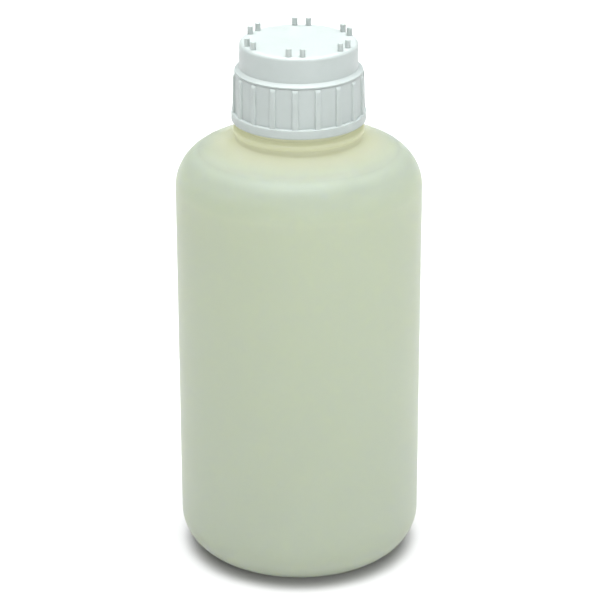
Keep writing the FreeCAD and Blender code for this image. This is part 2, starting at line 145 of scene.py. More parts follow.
class ThreadSizes(bpy.types.PropertyGroup):
    """Sizes of the ridges that the neck and the cap share."""
    pitch: length("Pitch", 6.0 * MM, "Rise of the thread in one turn")
    turns: FloatProperty(name="Turns", default=1.5, min=0.5, description="Turns of each ridge")
    depth: length("Depth", 1.6 * MM, "Height of the ridge")
    crest: length("Crest", 1.2 * MM, "Width of the ridge at its crest")
    embed: length("Embed", 0.4 * MM, "How far the ridge is sunk in its wall before they are joined")
    load_flank: angle("Load Flank", 10.0, "Slant of the flank that carries the pull")
    back_flank: angle("Back Flank", 45.0, "Slant of the other flank")
    run_out: angle("Run-out", 24.0, "Turn over which the ridge fades at each end")
    below_lip: length("Below Lip", 26.1 * MM, "Depth of the neck ridge's start below the lip")
    stagger: length("Stagger", 3.6 * MM, "How much lower the cap's ridge starts")
    radial_gap: length("Radial Gap", 0.35 * MM, "Clearance round the ridges' crests")
    load_gap: length("Load Gap", 0.15 * MM, "Clearance between the load flanks")


class CapSizes(bpy.types.PropertyGroup):
    """Sizes of the screw cap."""
    lip_gap: length("Lip Gap", 0.5 * MM, "Clearance between the crown's wall and the lip")
    crown_wall: length("Crown Wall", 2.0 * MM, "Thickness of the crown's wall")
    crown_height: length("Crown Height", 12.7 * MM, "Height of the plain crown")
    crown_rounding: length("Crown Rounding", 2.0 * MM, "Rounding of the crown's top edge")
    skirt_wall: length("Skirt Wall", 1.9 * MM, "Thickness of the threaded skirt")
    skirt_draft: length("Skirt Draft", 0.2 * MM, "How much the skirt widens downwards")
    ledge_drop: length("Ledge Drop", 1.35 * MM, "Fall of the sloping ledge round the crown")
    collar_height: length("Collar Height", 0.75 * MM, "Height of the collar under the ledge")
    collar_depth: length("Collar Depth", 0.1 * MM, "How far the collar stands out from the skirt")
    flange_height: length("Flange Height", 4.8 * MM, "Height of the flange at the foot")
    flange_rounding: length("Flange Rounding", 0.9 * MM, "Rounding of the flange's lower edge")
    small_rounding: length("Small Rounding", 0.4 * MM, "Rounding of the small edges")
    collar_rounding: length("Collar Rounding", 0.15 * MM, "Rounding of the collar's lower edge")
    inner_rounding: length("Inner Rounding", 0.2 * MM, "Rounding of the small edges inside")
    step_rounding: length("Step Rounding", 0.8 * MM, "Rounding of the inside step")
    inner_step: length("Inner Step", 2.0 * MM, "Depth of the inside step below the crown's foot")
    lead_in: length("Lead-in", 0.8 * MM, "Chamfer inside the skirt's mouth")
    retainer_gap: length("Retainer Gap", 0.9 * MM, "Clearance between the gasket's holding ring and the bore")
    retainer_wall: length("Retainer Wall", 1.6 * MM, "Thickness of the retaining ring")
    retainer_rounding: length("Retainer Rounding", 0.3 * MM, "Rounding where that ring meets the crown")
    gasket_rounding: length("Gasket Rounding", 0.4 * MM, "Rounding of the gasket's edges")
    retainer_short: length("Retainer Short", 0.4 * MM, "How much shorter the ring is than the gasket")
    rib_count: IntProperty(name="Ribs", default=18, min=3, description="Grip ribs round the skirt")
    rib_width: length("Rib Width", 2.9 * MM, "Width of a rib at its foot")
    rib_depth: length("Rib Depth", 1.15 * MM, "How far a rib stands out at its foot")
    rib_nose: length("Rib Nose", 2.4 * MM, "Radius of the rounded top of a rib")
    rib_draft: angle("Rib Draft", 1.4, "Lean of a rib's face towards the axis")
    rib_flank: angle("Rib Flank", 0.49, "Lean of each side of a rib towards its middle")
    rib_slant: length("Rib Slant", 0.06 * MM, "How far a rib's side slants out from edge to fillet")
    rib_corner: length("Rib Corner", 0.42 * MM, "Rounding of a rib's edges")
    rib_fillet: length("Rib Fillet", 0.3 * MM, "Radius of the fillet at a rib's sides")
    grip_azimuth: angle("Grip Azimuth", -93.2, "Where the front rib and the front pair of pegs stand")
    peg_pairs: IntProperty(name="Peg Pairs", default=PEG_DIMS["count"] // 2, min=1,
                           description="Pairs of pegs round the crown")
    peg_spacing: length("Peg Spacing", 6.7 * MM, "Distance between the two pegs of a pair")
    peg_rounding: length("Peg Rounding", 0.35 * MM, "Rounding of a peg's tip")
    peg_sink: length("Peg Sink", 1.2 * MM, "How deep a peg's root reaches into the crown")


class Plastics(bpy.types.PropertyGroup):
    """Colours of the plastics."""
    # Painted shade: the shell is painted darker towards the base, where the light from above falls off.
    low: tint("Milky Base", (0.352, 0.388, 0.308), "The shell near the base")
    milky: tint("Milky", (0.380, 0.420, 0.314), "The upper part of the shell's side")
    # Painted shade: the shoulder colour is darker to tone down the strong light that falls on the shoulder
    # from above.
    shoulder: tint("Milky Shoulder", (0.258, 0.287, 0.232), "The shoulder, where the wall grows thicker")
    # Partly painted shade: the neck's yellow is the thick plastic's own tint, and its darkness tones down the
    # light from above on the bead.
    amber_and_shade: tint("Thick Milky", (0.165, 0.172, 0.138), "The neck, where the plastic is thickest")
    # Painted light: the neck's emission stands in for light shining up through the wall into the cap's shade.
    painted_glow: tint("Neck Glow", (0.97, 1.0, 0.62), "Colour of the light that the wall leads up to the neck")
    painted_glow_strength: amount("Glow Strength", 0.41, "Brightness of that light")
    white: tint("White", (0.400, 0.438, 0.424), "The moulded cap")
    seal: tint("Seal", (0.66, 0.66, 0.58), "The gasket")


class StudioSizes(bpy.types.PropertyGroup):
    """The camera and the lights."""
    camera_distance: length("Camera Distance", 1.2010, "Distance along the floor to the camera")
    camera_height: length("Camera Height", 0.6355, "Height of the camera above the floor")
    camera_pitch: angle("Camera Pitch", 22.68, "How far the camera looks down")
    camera_yaw: angle("Camera Yaw", 0.02, "How far the camera turns to the right")
    camera_roll: angle("Camera Roll", -0.115, "Tilt of the camera")
    camera_lens: FloatProperty(name="Lens", default=154.9, min=1.0, description="Focal length in millimetres")
    floor_radius: length("Floor Radius", 6.0, "Radius of the pale floor")
    floor_low: tint("Floor Low", (0.545, 0.540, 0.536), "The darker of the floor's two tones")
    floor_high: tint("Floor High", (0.560, 0.555, 0.551), "The lighter of the floor's two tones")
    dome_top: amount("Dome Top", 15.9, "Brightness of the light from straight above")
    dome_side: amount("Dome Side", 0.05, "Brightness of the light from the sides")
    dome_focus: amount("Dome Focus", 10.0, "How fast the dome darkens away from the top")
    dome_tint: tint("Dome Tint", (0.965, 0.985, 1.0), "Colour of the light from above")
    key_power: amount("Key Power", 1.3, "Power of the light on the right, in watts")
    fill_power: amount("Fill Power", 2.1, "Mean power of the two lights in front, in watts")
    fill_lean: amount("Fill Lean", 0.22, "Share by which the right one gives more and the left one less")


def settings(context, name):
    """One of the scene's property groups."""
    return getattr(context.scene, f"reagent_{name}")


# Mesh helpers

def rounded_outline(corners, step=math.radians(9.0)):
    """Points of an outline in the (radius, height) plane.

    Each corner is (radius, height) or (radius, height, rounding); the rounding is drawn as an arc that meets
    both sides squarely.
    """
    points = []
    for place, corner in enumerate(corners):
        here = Vector(corner[:2])
        rounding = corner[2] if len(corner) > 2 else 0.0
        if not rounding:
            points.append(here)
            continue
        before = (Vector(corners[place - 1][:2]) - here).normalized()
        after = (Vector(corners[(place + 1) % len(corners)][:2]) - here).normalized()
        opening = before.angle(after)
        reach = rounding / math.tan(opening / 2)
        centre = here + (before + after).normalized() * (rounding / math.sin(opening / 2))
        start = here + before * reach - centre
        turn = start.angle_signed(here + after * reach - centre)
        count = max(2, math.ceil(abs(turn) / step))
        for part in range(count + 1):
            swing = -turn * part / count
            points.append(centre + Vector((start.x * math.cos(swing) - start.y * math.sin(swing),
                                           start.x * math.sin(swing) + start.y * math.cos(swing))))
    return points


def split_long(points, longest):
    """The outline with its long straight stretches divided evenly."""
    divided = [points[0]]
    for start, end in zip(points, points[1:]):
        count = max(1, math.ceil((end - start).length / longest))
        divided += [start.lerp(end, part / count) for part in range(1, count + 1)]
    return divided


def grid_mesh(name, rows, place, wraps):
    """A mesh from rows of points. place(row, column) gives a point; a row on the axis becomes one vertex.

    rows is a list of (radius, height); wraps is the number of columns round the axis.
    """
    builder = bmesh.new()
    rings = []
    for row, point in enumerate(rows):
        if point[0] < 1e-9:
            rings.append([builder.verts.new((0.0, 0.0, point[1]))])
        else:
            rings.append([builder.verts.new(place(row, column)) for column in range(wraps)])
    for low, high in zip(rings, rings[1:]):
        for column in range(wraps):
            after = (column + 1) % wraps
            corners = [low[column % len(low)], low[after % len(low)], high[after % len(high)],
                       high[column % len(high)]]
            face = list(dict.fromkeys(corners))
            builder.faces.new(face)
    bmesh.ops.recalc_face_normals(builder, faces=builder.faces)
    mesh = bpy.data.meshes.new(name)
    builder.to_mesh(mesh)
    builder.free()
    return mesh


def new_piece(name, mesh):
    """An object holding a mesh, linked to the scene."""
    piece = bpy.data.objects.new(name, mesh)
    bpy.context.scene.collection.objects.link(piece)
    return piece


def turned(name, outline, segments):
    """A piece turned round the Z axis from an outline."""
    def place(row, column):
        swing = 2 * math.pi * column / segments
        radius, height = outline[row]
        return (radius * math.cos(swing), radius * math.sin(swing), height)
    return new_piece(name, grid_mesh(name, outline, place, segments))


def weld_ring(piece):
    """Merges the first and last rows of a ring's closed outline."""
    builder = bmesh.new()
    builder.from_mesh(piece.data)
    bmesh.ops.remove_doubles(builder, verts=builder.verts, dist=0.001 * MM)
    bmesh.ops.recalc_face_normals(builder, faces=builder.faces)
    builder.to_mesh(piece.data)
    builder.free()


def join_solids(piece, others):
    """Unites closed pieces into one closed mesh, and removes the others."""
    for other in others:
        union = piece.modifiers.new("union", "BOOLEAN")
        union.operation = "UNION"
        union.solver = "EXACT"
        union.object = other
    bpy.context.view_layer.update()
    mesh = bpy.data.meshes.new_from_object(piece.evaluated_get(bpy.context.evaluated_depsgraph_get()))
    piece.modifiers.clear()
    piece.data = mesh
    for other in others:
        bpy.data.objects.remove(other)
    mesh.name = piece.name
    return piece


def finish_piece(piece, body, node, material, sharp=math.radians(38.0)):
    """Smooths a piece, gives it its material, and lets it ride on its body in place of its CAD node."""
    if not piece.data.polygons:
        raise RuntimeError(f"{piece.name} has no faces")
    for face in piece.data.polygons:
        face.use_smooth = True
    piece.data.set_sharp_from_angle(angle=sharp)
    piece.data.materials.clear()
    piece.data.materials.append(material)
    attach(piece, body)
    if node:
        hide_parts(node)
    return piece


def thread_ridge(name, wall, inwards, start, phase, sizes, steps_a_turn=96):
    """A right-hand ridge on a round wall, sunk a little into it, that fades into the wall at both ends.

    The neck's ridge stands outwards with its load flank below; the cap's stands inwards with it above.
    """
    side = -1.0 if inwards else 1.0
    chamfer = 0.12  # of the ridge's height, at both edges of the crest
    least = 0.04  # of the ridge's height, left at its very ends
    full = sizes.depth + sizes.embed
    total = 2 * math.pi * sizes.turns
    steps = round(sizes.turns * steps_a_turn)
    rings = []
    builder = bmesh.new()
    for step in range(steps + 1):
        swing = total * step / steps
        fade = min(1.0, min(swing, total - swing) / sizes.run_out)
        stand = least + (1.0 - least) * math.sin(fade * math.pi / 2)
        middle = start + sizes.pitch * swing / (2 * math.pi)
        shoulder = (1.0 - chamfer) * stand
        ring = []
        for share, flank in ((0.0, "load"), (shoulder, "load"), (stand, "load crest"),
                             (stand, "back crest"), (shoulder, "back"), (0.0, "back")):
            slant = sizes.load_flank if flank.startswith("load") else sizes.back_flank
            away = sizes.crest / 2 + (1.0 - share) * full * math.tan(slant)
            if flank.endswith("crest"):
                away -= chamfer * full
            direction = -side if flank.startswith("load") else side
            radius = wall + side * (share * full - sizes.embed)
            ring.append(builder.verts.new((radius * math.cos(swing + phase), radius * math.sin(swing + phase),
                                           middle + direction * away)))
        rings.append(ring)
    for low, high in zip(rings, rings[1:]):
        for place in range(len(low)):
            after = (place + 1) % len(low)
            builder.faces.new((low[place], low[after], high[after], high[place]))
    builder.faces.new(rings[0])
    builder.faces.new(reversed(rings[-1]))
    bmesh.ops.recalc_face_normals(builder, faces=builder.faces)
    mesh = bpy.data.meshes.new(name)
    builder.to_mesh(mesh)
    builder.free()
    return new_piece(name, mesh)


# Material helpers

def new_material(name):
    """A node material with its principled shader."""
    material = bpy.data.materials.new(name)
    material.use_nodes = True
    return material, material.node_tree, material.node_tree.nodes["Principled BSDF"]


def noise(tree, scale, detail=2.0, roughness=0.5):
    """Noise in the piece's own coordinates, with scale in blobs a metre."""
    place = tree.nodes.new("ShaderNodeTexCoord")
    texture = tree.nodes.new("ShaderNodeTexNoise")
    texture.inputs["Scale"].default_value = scale
    texture.inputs["Detail"].default_value = detail
    texture.inputs["Roughness"].default_value = roughness
    tree.links.new(place.outputs["Object"], texture.inputs["Vector"])
    return texture.outputs["Fac"]


def spread(tree, source, low, high, from_low=0.3, from_high=0.7):
    """Stretches a value onto the range low to high."""
    stretch = tree.nodes.new("ShaderNodeMapRange")
    stretch.inputs["From Min"].default_value = from_low
    stretch.inputs["From Max"].default_value = from_high
    stretch.inputs["To Min"].default_value = low
    stretch.inputs["To Max"].default_value = high
    tree.links.new(source, stretch.inputs["Value"])
    return stretch.outputs["Result"]


def bumps(tree, shader, layers):
    """Chains bump nodes from (height source, distance, strength) layers into a shader."""
    last = None
    for source, distance, strength in layers:
        bump = tree.nodes.new("ShaderNodeBump")
        bump.inputs["Distance"].default_value = distance
        bump.inputs["Strength"].default_value = strength
        tree.links.new(source, bump.inputs["Height"])
        if last:
            tree.links.new(last, bump.inputs["Normal"])
        last = bump.outputs["Normal"]
    tree.links.new(last, shader.inputs["Normal"])


def blend_colours(tree, source, first, second):
    """A colour that runs from first to second with a value."""
    ramp = tree.nodes.new("ShaderNodeValToRGB")
    ramp.color_ramp.elements[0].color = (*first, 1.0)
    ramp.color_ramp.elements[1].color = (*second, 1.0)
    tree.links.new(source, ramp.inputs["Fac"])
    return ramp.outputs["Color"]


def height_of(tree):
    """The height of a point of the piece, in metres."""
    place = tree.nodes.new("ShaderNodeTexCoord")
    parts = tree.nodes.new("ShaderNodeSeparateXYZ")
    tree.links.new(place.outputs["Object"], parts.inputs["Vector"])
    return parts.outputs["Z"]


def milky_plastic(colours, neck_height):
    """Natural polypropylene: milky, translucent, with the faint ripple of blowing.

    It is yellower where it is thick. Its colour is also painted darker towards the base, on the shoulder and
    on the neck: painted shade for how the light from above falls. A weak emission of its own is painted light
    on the neck, standing in for the light that the wall leads up to it.
    """
    material, tree, shader = new_material("milky_plastic")
    height = height_of(tree)
    # The colour by height carries painted shade: darker towards the base, on the shoulder and on the neck.
    # The neck's yellow is the thick plastic's own tint.
    rise = spread(tree, height, 0.0, 1.0, 0.0, neck_height)
    ramp = tree.nodes.new("ShaderNodeValToRGB")
    ramp.color_ramp.elements[0].color = (*colours.low, 1.0)
    ramp.color_ramp.elements[1].color = (*colours.amber_and_shade, 1.0)
    # The shoulder stop is painted shade, darker to tone down the light from above on the shoulder.
    for place, colour in ((SIDE_TOP, colours.milky), (SHOULDER_SHADE_LOW, colours.shoulder),
                          (SHOULDER_SHADE_TOP, colours.shoulder)):
        ramp.color_ramp.elements.new(place).color = (*colour, 1.0)
    tree.links.new(rise, ramp.inputs["Fac"])
    tree.links.new(ramp.outputs["Color"], shader.inputs["Base Color"])
    # Painted light: emission that brightens the neck, standing in for light shining through the wall.
    neck = spread(tree, height, 0.0, colours.painted_glow_strength, PAINTED_GLOW_LOW * neck_height, neck_height)
    tree.links.new(neck, shader.inputs["Emission Strength"])
    shader.inputs["Emission Color"].default_value = (*colours.painted_glow, 1.0)
    shader.subsurface_method = "RANDOM_WALK"
    shader.inputs["Subsurface Weight"].default_value = 1.0
    shader.inputs["Subsurface Radius"].default_value = (1.0, 1.0, 0.55)
    shader.inputs["Subsurface Scale"].default_value = 8.0 * MM
    shader.inputs["IOR"].default_value = 1.49
    shader.inputs["Specular IOR Level"].default_value = 0.10
    shader.inputs["Specular Tint"].default_value = (0.80, 0.95, 1.0, 1.0)
    tree.links.new(spread(tree, noise(tree, 60.0), 0.38, 0.44), shader.inputs["Roughness"])
    shader.inputs["Coat Weight"].default_value = 0.05
    shader.inputs["Coat Roughness"].default_value = 0.07
    ripple = (noise(tree, 38.0, 1.0), 0.6 * MM, 0.10)
    grain = (noise(tree, 150.0, 1.0), 0.06 * MM, 0.10)
    bumps(tree, shader, [ripple, grain])
    return material


def white_plastic(colours):
    """Opaque white polypropylene with a fine satin from the mould."""
    material, tree, shader = new_material("white_plastic")
    shade = [channel * 0.96 for channel in colours.white]
    colour = blend_colours(tree, spread(tree, noise(tree, 120.0), 0.0, 1.0), shade, colours.white)
    tree.links.new(colour, shader.inputs["Base Color"])
    shader.subsurface_method = "RANDOM_WALK"
    shader.inputs["Subsurface Weight"].default_value = 0.6
    shader.inputs["Subsurface Radius"].default_value = (1.0, 1.0, 0.9)
    shader.inputs["Subsurface Scale"].default_value = 0.7 * MM
    shader.inputs["IOR"].default_value = 1.49
    shader.inputs["Specular IOR Level"].default_value = 0.35
    tree.links.new(spread(tree, noise(tree, 700.0), 0.30, 0.38), shader.inputs["Roughness"])
    bumps(tree, shader, [(noise(tree, 2600.0, 3.0), 0.03 * MM, 0.25)])
    return material


def seal_rubber(colours):
    """Soft off-white elastomer, dull and finely grained."""
    material, tree, shader = new_material("seal_rubber")
    shade = [channel * 0.9 for channel in colours.seal]
    colour = blend_colours(tree, spread(tree, noise(tree, 300.0), 0.0, 1.0), shade, colours.seal)
    tree.links.new(colour, shader.inputs["Base Color"])
    shader.inputs["IOR"].default_value = 1.5
    tree.links.new(spread(tree, noise(tree, 1500.0), 0.55, 0.7), shader.inputs["Roughness"])
    bumps(tree, shader, [(noise(tree, 3000.0, 3.0), 0.04 * MM, 0.3)])
    return material


def floor_white(stage):
    """A plain pale floor with barely visible unevenness."""
    material, tree, shader = new_material("floor_white")
    colour = blend_colours(tree, noise(tree, 3.0), stage.floor_low, stage.floor_high)
    tree.links.new(colour, shader.inputs["Base Color"])
    shader.inputs["Roughness"].default_value = 0.9
    shader.inputs["Specular IOR Level"].default_value = 0.1
    return material


# Pieces

def bottle_outline(sizes):
    """The shell's closed section, from the middle of the base up the outside and back down the inside."""
    lip_radius = BORE_RADIUS + sizes.lip_wall
    root = lip_radius + sizes.root_step
    core = lip_radius + sizes.core_step
    lip_top = BOTTLE_HIGH.z
    bead_top = lip_top - sizes.neck_length
    bead_low = bead_top - sizes.bead_height
    neck_base = bead_low - sizes.root_height
    fall = math.tan(sizes.shoulder_slope)
    body = sizes.body_radius
    ring_out = body - sizes.base_radius
    ring_in = ring_out - sizes.ring_width
    inner_fall = sizes.wall / math.cos(sizes.shoulder_slope)
    steps = 12
    dome = [(ring_in * step / steps, sizes.push_up * (1 - (step / steps) ** 2)) for step in range(steps)]
    outside = dome + [
        (ring_in, 0.0),
        (body, 0.0, sizes.base_radius),
        (body, neck_base - (body - root) * fall, sizes.shoulder_radius),
        (root, neck_base, sizes.root_rounding),
        (root, bead_low, sizes.recess_rounding),
        (root + sizes.bead_depth, bead_low, sizes.bead_rounding),
        (root + sizes.bead_depth, bead_top, sizes.bead_rounding),
        (core, bead_top, sizes.recess_rounding),
        (core, lip_top - sizes.lip_length - sizes.core_step, sizes.core_rounding),
        (lip_radius, lip_top - sizes.lip_length, sizes.core_rounding),
        (lip_radius, lip_top, sizes.lip_rounding),
    ]
    throat = BORE_RADIUS + sizes.throat_flare
    throat_height = neck_base - inner_fall - (throat - root) * fall
    inner = body - sizes.wall
    inside = [
        (BORE_RADIUS, lip_top, sizes.lip_rounding),
        (BORE_RADIUS, throat_height + sizes.throat_flare, sizes.throat_rounding),
        (throat, throat_height, sizes.throat_corner),
        (inner, neck_base - inner_fall - (inner - root) * fall, sizes.shoulder_radius - sizes.wall),
        (inner, sizes.wall, sizes.base_radius - sizes.wall),
        (ring_in, sizes.wall),
    ]
    inside += [(radius, height + sizes.wall) for radius, height in reversed(dome)]
    return split_long(rounded_outline(outside + inside, math.radians(6.0)), 8 * MM)


class REAGENT_OT_blow_bottle(bpy.types.Operator):
    """Makes the blown shell with its bead, mould seam, thread and lip"""
    bl_idname = "reagent.blow_bottle"
    bl_label = "Blow the Bottle"

    def execute(self, context):
        sizes = settings(context, "bottle")
        thread = settings(context, "thread")
        outline = bottle_outline(sizes)
        seam = sizes.seam_width / 2 / sizes.body_radius
        swings = {2 * math.pi * column / sizes.segments for column in range(sizes.segments)}
        swings |= {(side * math.pi + offset) % (2 * math.pi) for side in (0, 1) for offset in (-seam, seam)}
        columns = sorted(swings)
        lip_row = max(range(len(outline)), key=lambda row: outline[row].y)
        seam_top = BOTTLE_HIGH.z - sizes.neck_length

        def place(row, column):
            radius, height = outline[row]
            on_seam = min(abs(columns[column]), abs(columns[column] - math.pi)) < seam / 2
            if on_seam and row < lip_row and sizes.seam_foot < height < seam_top:
                radius -= sizes.seam_depth
            return (radius * math.cos(columns[column]), radius * math.sin(columns[column]), height)

        shell = new_piece("blown_bottle", grid_mesh("blown_bottle", outline, place, len(columns)))
        core = BORE_RADIUS + sizes.lip_wall + sizes.core_step
        ridge = thread_ridge("neck_ridge", core, False, BOTTLE_HIGH.z - thread.below_lip, 0.0, thread)
        join_solids(shell, [ridge])
        neck_base = BOTTLE_HIGH.z - sizes.neck_length - sizes.bead_height - sizes.root_height
        material = milky_plastic(settings(context, "plastics"), neck_base)
        finish_piece(shell, "bottle_body", "bottle", material)
        return {"FINISHED"}


class REAGENT_OT_pinch_weld(bpy.types.Operator):
    """Makes the pinched weld line across the push-up, under the base"""
    bl_idname = "reagent.pinch_weld"
    bl_label = "Pinch the Weld"

    def execute(self, context):
        sizes = settings(context, "bottle")
        ring_in = sizes.body_radius - sizes.base_radius - sizes.ring_width
        half = ring_in - sizes.weld_gap
        across = 9
        stations = 48
        least = 0.02  # keeps the weld's ends from closing to a point
        builder = bmesh.new()
        rings = []
        for station in range(stations + 1):
            along = half * (2 * station / stations - 1)
            fade = math.sqrt(max(least, 1 - (along / half) ** 6))
            base = sizes.push_up * (1 - (along / ring_in) ** 2)
            ring = []
            for spot in range(across):
                swing = math.pi * spot / (across - 1)
                side = -math.cos(swing) * sizes.weld_width / 2 * fade
                drop = math.sin(swing) * sizes.weld_height * fade
                ring.append(builder.verts.new((along, side, base + sizes.weld_bed - drop)))
            rings.append(ring)
        for low, high in zip(rings, rings[1:]):
            for spot in range(across):
                after = (spot + 1) % across
                builder.faces.new((low[spot], low[after], high[after], high[spot]))
        builder.faces.new(rings[0])
        builder.faces.new(reversed(rings[-1]))
        bmesh.ops.recalc_face_normals(builder, faces=builder.faces)
        mesh = bpy.data.meshes.new("pinch_weld")
        builder.to_mesh(mesh)
        builder.free()
        weld = new_piece("pinch_weld", mesh)
        finish_piece(weld, "bottle_body", None, bpy.data.materials["milky_plastic"])
        return {"FINISHED"}


class RibShape:
    """How far the skirt's ribs stand out, by height and by distance from a rib's middle."""

    def __init__(self, sizes, skirt_radius, flange_top, collar_foot):
        self.sizes = sizes
        self.skirt = skirt_radius
        self.low = flange_top
        self.high = collar_foot
        self.nose_z = collar_foot - sizes.rib_nose

    def wall(self, height):
        """The drafted wall's radius between the ribs."""
        share = (self.high - height) / (self.high - self.low)
        return self.skirt + self.sizes.skirt_draft * share

    def stand(self, height):
        """How far a rib's face stands out from the wall."""
        sizes = self.sizes
        if not self.low <= height <= self.high:
            return 0.0
        face = self.skirt + sizes.skirt_draft + sizes.rib_depth
        face -= (height - self.low) * math.tan(sizes.rib_draft)
        above = max(0.0, height - self.nose_z)
        face -= sizes.rib_nose - math.sqrt(max(0.0, sizes.rib_nose ** 2 - above ** 2))
        return max(0.0, face - self.wall(height))

    def narrowing(self, height):
        """How much narrower a rib is than at its foot."""
        up = min(max(height, self.low), self.high) - self.low
        return 1 - 2 * up * math.tan(self.sizes.rib_flank) / self.sizes.rib_width

    def section(self):
        """(distance from the middle, share of the stand) across half a rib, with its edge and fillet."""
        half = self.sizes.rib_width / 2
        corner = self.sizes.rib_corner
        fillet = self.sizes.rib_fillet
        depth = self.sizes.rib_depth
        points = [(0.0, 1.0), (0.55 * (half - corner), 1.0)]
        for part in range(5):
            swing = math.pi / 2 * part / 4
            fall = corner * (1 - math.cos(swing))
            points.append((half - corner + corner * math.sin(swing), 1 - fall / depth))
        foot = half + self.sizes.rib_slant
        for part in range(4):
            swing = math.pi / 2 * part / 3
            points.append((foot + fillet * (1 - math.cos(swing)), fillet * (1 - math.sin(swing)) / depth))
        return points


def cap_outline(sizes, bottle, thread):
    """The cap's closed section, the shape of its ribs, and the radii of its skirt's inside and its flange."""
    lip_radius = BORE_RADIUS + bottle.lip_wall
    crest = lip_radius + bottle.core_step + thread.depth
    skirt_in = crest + thread.radial_gap
    skirt = skirt_in + sizes.skirt_wall
    crown_in = lip_radius + sizes.lip_gap
    crown = crown_in + sizes.crown_wall
    flange = CAP_HIGH.x
    foot = CAP_LOW.z
    seat = GASKET_HIGH.z
    crown_foot = CROWN_TOP - sizes.crown_height
    ledge = crown_foot - sizes.ledge_drop
    collar = ledge - sizes.collar_height
    flange_top = foot + sizes.flange_height
    retainer = BORE_RADIUS - sizes.retainer_gap
    retainer_foot = GASKET_LOW.z + sizes.retainer_short
    step = crown_foot - sizes.inner_step
    small = sizes.small_rounding
    inner = sizes.inner_rounding
    above = rounded_outline([
        (0.0, CROWN_TOP),
        (0.6 * crown, CROWN_TOP),
        (crown, CROWN_TOP, sizes.crown_rounding),
        (crown, crown_foot, small),
        (skirt + sizes.collar_depth, ledge, small),
        (skirt + sizes.collar_depth, collar, sizes.collar_rounding),
        (skirt, collar, sizes.collar_rounding),
        (skirt, collar - small),
    ])
    nose = [collar - sizes.rib_nose * (1 - math.sin(math.radians(swing))) for swing in range(72, -1, -9)]
    straight = [nose[-1] + (flange_top + small - nose[-1]) * part / 7 for part in range(1, 8)]
    drafted = [Vector((skirt + sizes.skirt_draft * (collar - height) / (collar - flange_top), height))
               for height in nose + straight]
    below = rounded_outline([
        (skirt + sizes.skirt_draft, flange_top + small),
        (skirt + sizes.skirt_draft, flange_top, small),
        (flange, flange_top, small),
        (flange, foot, sizes.flange_rounding),
        (skirt_in + sizes.lead_in, foot, inner),
        (skirt_in, foot + sizes.lead_in, inner),
        (skirt_in, step - (skirt_in - crown_in), sizes.step_rounding),
        (crown_in, step, sizes.step_rounding),
        (crown_in, seat, inner),
        (retainer, seat, inner),
        (retainer, retainer_foot, inner),
        (retainer - sizes.retainer_wall, retainer_foot, inner),
        (retainer - sizes.retainer_wall, seat, sizes.retainer_rounding),
        (0.5 * retainer, seat),
        (0.0, seat),
    ])
    outline = above + drafted + below[1:]
    return outline, RibShape(sizes, skirt, flange_top, collar), skirt_in, flange


def peg(sizes, radius, place):
    """One round peg with a rounded tip, sunk into the crown."""
    root = CROWN_TOP - sizes.peg_sink
    outline = rounded_outline([
        (0.0, CAP_HIGH.z),
        (0.5 * radius, CAP_HIGH.z),
        (radius, CAP_HIGH.z, sizes.peg_rounding),
        (radius, root),
        (0.5 * radius, root),
        (0.0, root),
    ], math.radians(15.0))
    piece = turned("peg", split_long(outline, 1.2 * MM), 28)
    piece.data.transform(Matrix.Translation((place[0], place[1], 0.0)))
    return piece


class REAGENT_OT_mould_cap(bpy.types.Operator):
    """Makes the screw cap with its ribs, pegs, inside thread and retaining ring"""
    bl_idname = "reagent.mould_cap"
    bl_label = "Mould the Cap"

    def execute(self, context):
        sizes = settings(context, "cap")
        bottle = settings(context, "bottle")
        thread = settings(context, "thread")
        outline, ribs, skirt_in, flange = cap_outline(sizes, bottle, thread)
        sector = 2 * math.pi / sizes.rib_count
        reach = sector / 2 * ribs.skirt
        near_rib = 0.5 * reach
        half = ribs.section() + [(0.55 * reach, 0.0), (0.78 * reach, 0.0)]
        section = [(-away, share) for away, share in reversed(half[1:])] + half + [(reach, 0.0)]
        columns = [(sizes.grip_azimuth + rib * sector, away, share)
                   for rib in range(sizes.rib_count) for away, share in section]
        edge = flange - sizes.small_rounding
        foot_zone = ribs.low + 1.0 * MM
        last_outer = max(row for row, point in enumerate(outline) if point.x > flange - 1e-6)

        def place(row, column):
            radius, height = outline[row]
            middle, away, share = columns[column]
            if row <= last_outer and radius < edge:
                stand = ribs.stand(max(height, ribs.low)) * share
                if height < foot_zone:
                    stand *= 1 - max(0.0, (radius - ribs.wall(ribs.low)) / (edge - ribs.wall(ribs.low)))
                radius += stand
            squeeze = ribs.narrowing(height) if share > 0.0 or abs(away) < near_rib else 1.0
            swing = middle + away * squeeze / ribs.skirt
            return (radius * math.cos(swing), radius * math.sin(swing), height)

        cap = new_piece("moulded_cap", grid_mesh("moulded_cap", outline, place, len(columns)))
        drop = (thread.crest + (thread.depth - thread.radial_gap) * math.tan(thread.load_flank)
                + thread.load_gap)
        phase = 2 * math.pi * (drop - thread.stagger) / thread.pitch
        start = BOTTLE_HIGH.z - thread.below_lip - thread.stagger
        extras = [thread_ridge("cap_ridge", skirt_in, True, start, phase, thread)]
        peg_circle = PEG_DIMS["pcd_mm"] / 2 * MM
        lean = math.asin(sizes.peg_spacing / 2 / peg_circle)
        for pair in range(sizes.peg_pairs):
            for side in (-1, 1):
                swing = sizes.grip_azimuth + 2 * math.pi * pair / sizes.peg_pairs + side * lean
                spot = (peg_circle * math.cos(swing), peg_circle * math.sin(swing))
                extras.append(peg(sizes, PEG_DIMS["stud_r_mm"] * MM, spot))
        join_solids(cap, extras)
        material = white_plastic(settings(context, "plastics"))
        finish_piece(cap, "cap_body", "screw_cap", material)
        return {"FINISHED"}


